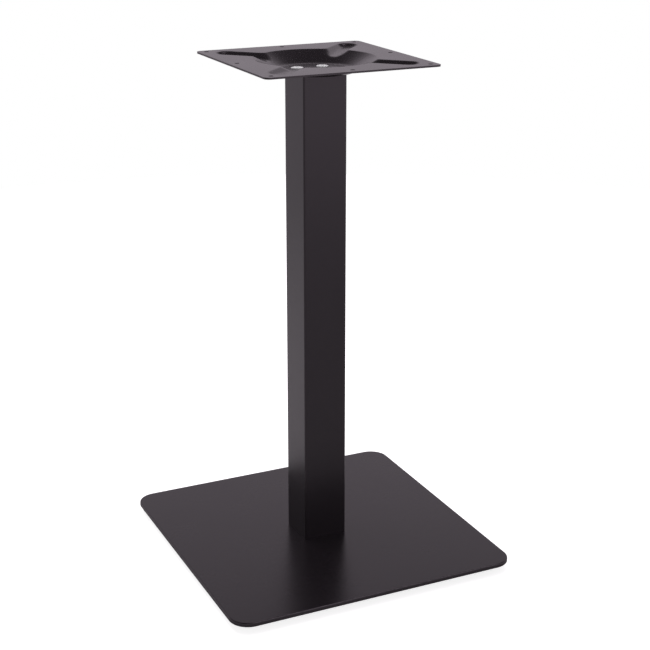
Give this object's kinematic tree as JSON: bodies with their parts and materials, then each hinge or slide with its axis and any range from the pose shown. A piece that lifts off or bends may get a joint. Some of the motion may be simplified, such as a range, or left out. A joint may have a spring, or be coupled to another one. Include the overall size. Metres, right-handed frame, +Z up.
{
  "type": "pedestal table leg",
  "caption": "Square steel pedestal leg: flat base plate on levelling feet, square tube column and a pressed top plate with holes for screwing up under a table top.",
  "frame": {"origin": "on the floor, under the middle of the column", "axes": "+Z up along the column, +X and +Y along the sides of the base plate, front at -Y"},
  "size_m": [0.43, 0.43, 0.725],
  "materials": {
    "black_powder_coat": "satin black powder coat on steel",
    "zinc_plated_steel": "bright zinc plating",
    "black_nylon": "moulded nylon"
  },
  "bodies": {
    "frame": {"base_plate": "black_powder_coat", "leveller_nuts": "black_powder_coat", "column_foot_plate": "black_powder_coat", "column_tube": "black_powder_coat", "column_head_plate": "black_powder_coat", "base_screws": "zinc_plated_steel", "top_plate": "black_powder_coat", "top_bolts": "zinc_plated_steel"},
    "pad_front_left": {"pad_front_left": "black_nylon"},
    "pad_front_right": {"pad_front_right": "black_nylon"},
    "pad_back_left": {"pad_back_left": "black_nylon"},
    "pad_back_right": {"pad_back_right": "black_nylon"},
    "stud_front_left": {"stud_front_left": "zinc_plated_steel"},
    "stud_front_right": {"stud_front_right": "zinc_plated_steel"},
    "stud_back_left": {"stud_back_left": "zinc_plated_steel"},
    "stud_back_right": {"stud_back_right": "zinc_plated_steel"}
  },
  "joints": [
    {"name": "pad_front_left_drop", "type": "slide", "parent": "frame", "child": "pad_front_left", "axis": [0, 0, -1], "range_m": [0, 0.004]},
    {"name": "pad_front_right_drop", "type": "slide", "parent": "frame", "child": "pad_front_right", "axis": [0, 0, -1], "range_m": [0, 0.004]},
    {"name": "pad_back_left_drop", "type": "slide", "parent": "frame", "child": "pad_back_left", "axis": [0, 0, -1], "range_m": [0, 0.004]},
    {"name": "pad_back_right_drop", "type": "slide", "parent": "frame", "child": "pad_back_right", "axis": [0, 0, -1], "range_m": [0, 0.004]},
    {"name": "stud_front_left_turn", "type": "hinge", "parent": "pad_front_left", "child": "stud_front_left", "pos_m": [-0.175, -0.175, 0], "axis": [0, 0, -1], "range_deg": [0, 1440]},
    {"name": "stud_front_right_turn", "type": "hinge", "parent": "pad_front_right", "child": "stud_front_right", "pos_m": [0.175, -0.175, 0], "axis": [0, 0, -1], "range_deg": [0, 1440]},
    {"name": "stud_back_left_turn", "type": "hinge", "parent": "pad_back_left", "child": "stud_back_left", "pos_m": [-0.175, 0.175, 0], "axis": [0, 0, -1], "range_deg": [0, 1440]},
    {"name": "stud_back_right_turn", "type": "hinge", "parent": "pad_back_right", "child": "stud_back_right", "pos_m": [0.175, 0.175, 0], "axis": [0, 0, -1], "range_deg": [0, 1440]}
  ],
  "couplings": [
    {"joint": "stud_front_left_turn", "follows": "pad_front_left_drop", "rad_per_m": 6283.2},
    {"joint": "stud_front_right_turn", "follows": "pad_front_right_drop", "rad_per_m": 6283.2},
    {"joint": "stud_back_left_turn", "follows": "pad_back_left_drop", "rad_per_m": 6283.2},
    {"joint": "stud_back_right_turn", "follows": "pad_back_right_drop", "rad_per_m": 6283.2}
  ]
}
